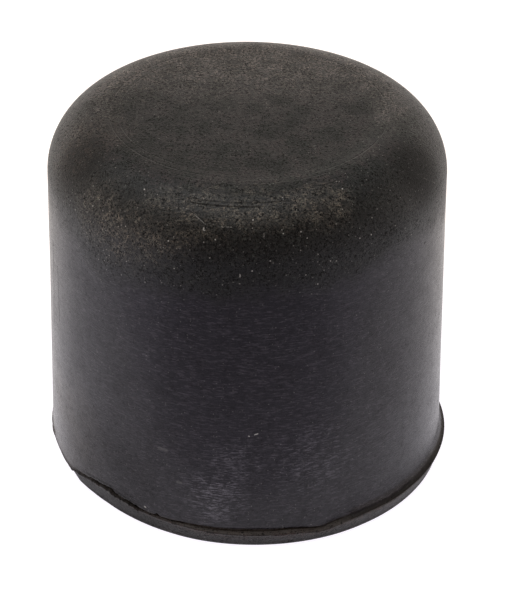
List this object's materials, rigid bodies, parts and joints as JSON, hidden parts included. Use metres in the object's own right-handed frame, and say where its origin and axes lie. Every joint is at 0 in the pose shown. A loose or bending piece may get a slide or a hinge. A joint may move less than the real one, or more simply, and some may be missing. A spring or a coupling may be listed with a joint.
{
  "type": "rubber cap",
  "caption": "Round push-on rubber cap for the end of a tube, with a rounded shoulder, a flat closed end and a blind bore.",
  "frame": {"origin": "centre of the open mouth, on the bore axis, in the plane that the cap stands on", "axes": "+Z along the bore axis towards the closed end, +X to the right and +Y away from the viewer in the picture"},
  "size_m": [0.0333, 0.033, 0.031],
  "materials": {
    "rubber": "black moulded rubber, matt and grainy on the end, satin on the wall, with light dust"
  },
  "bodies": {
    "root": {"cap": "rubber"}
  },
  "joints": []
}
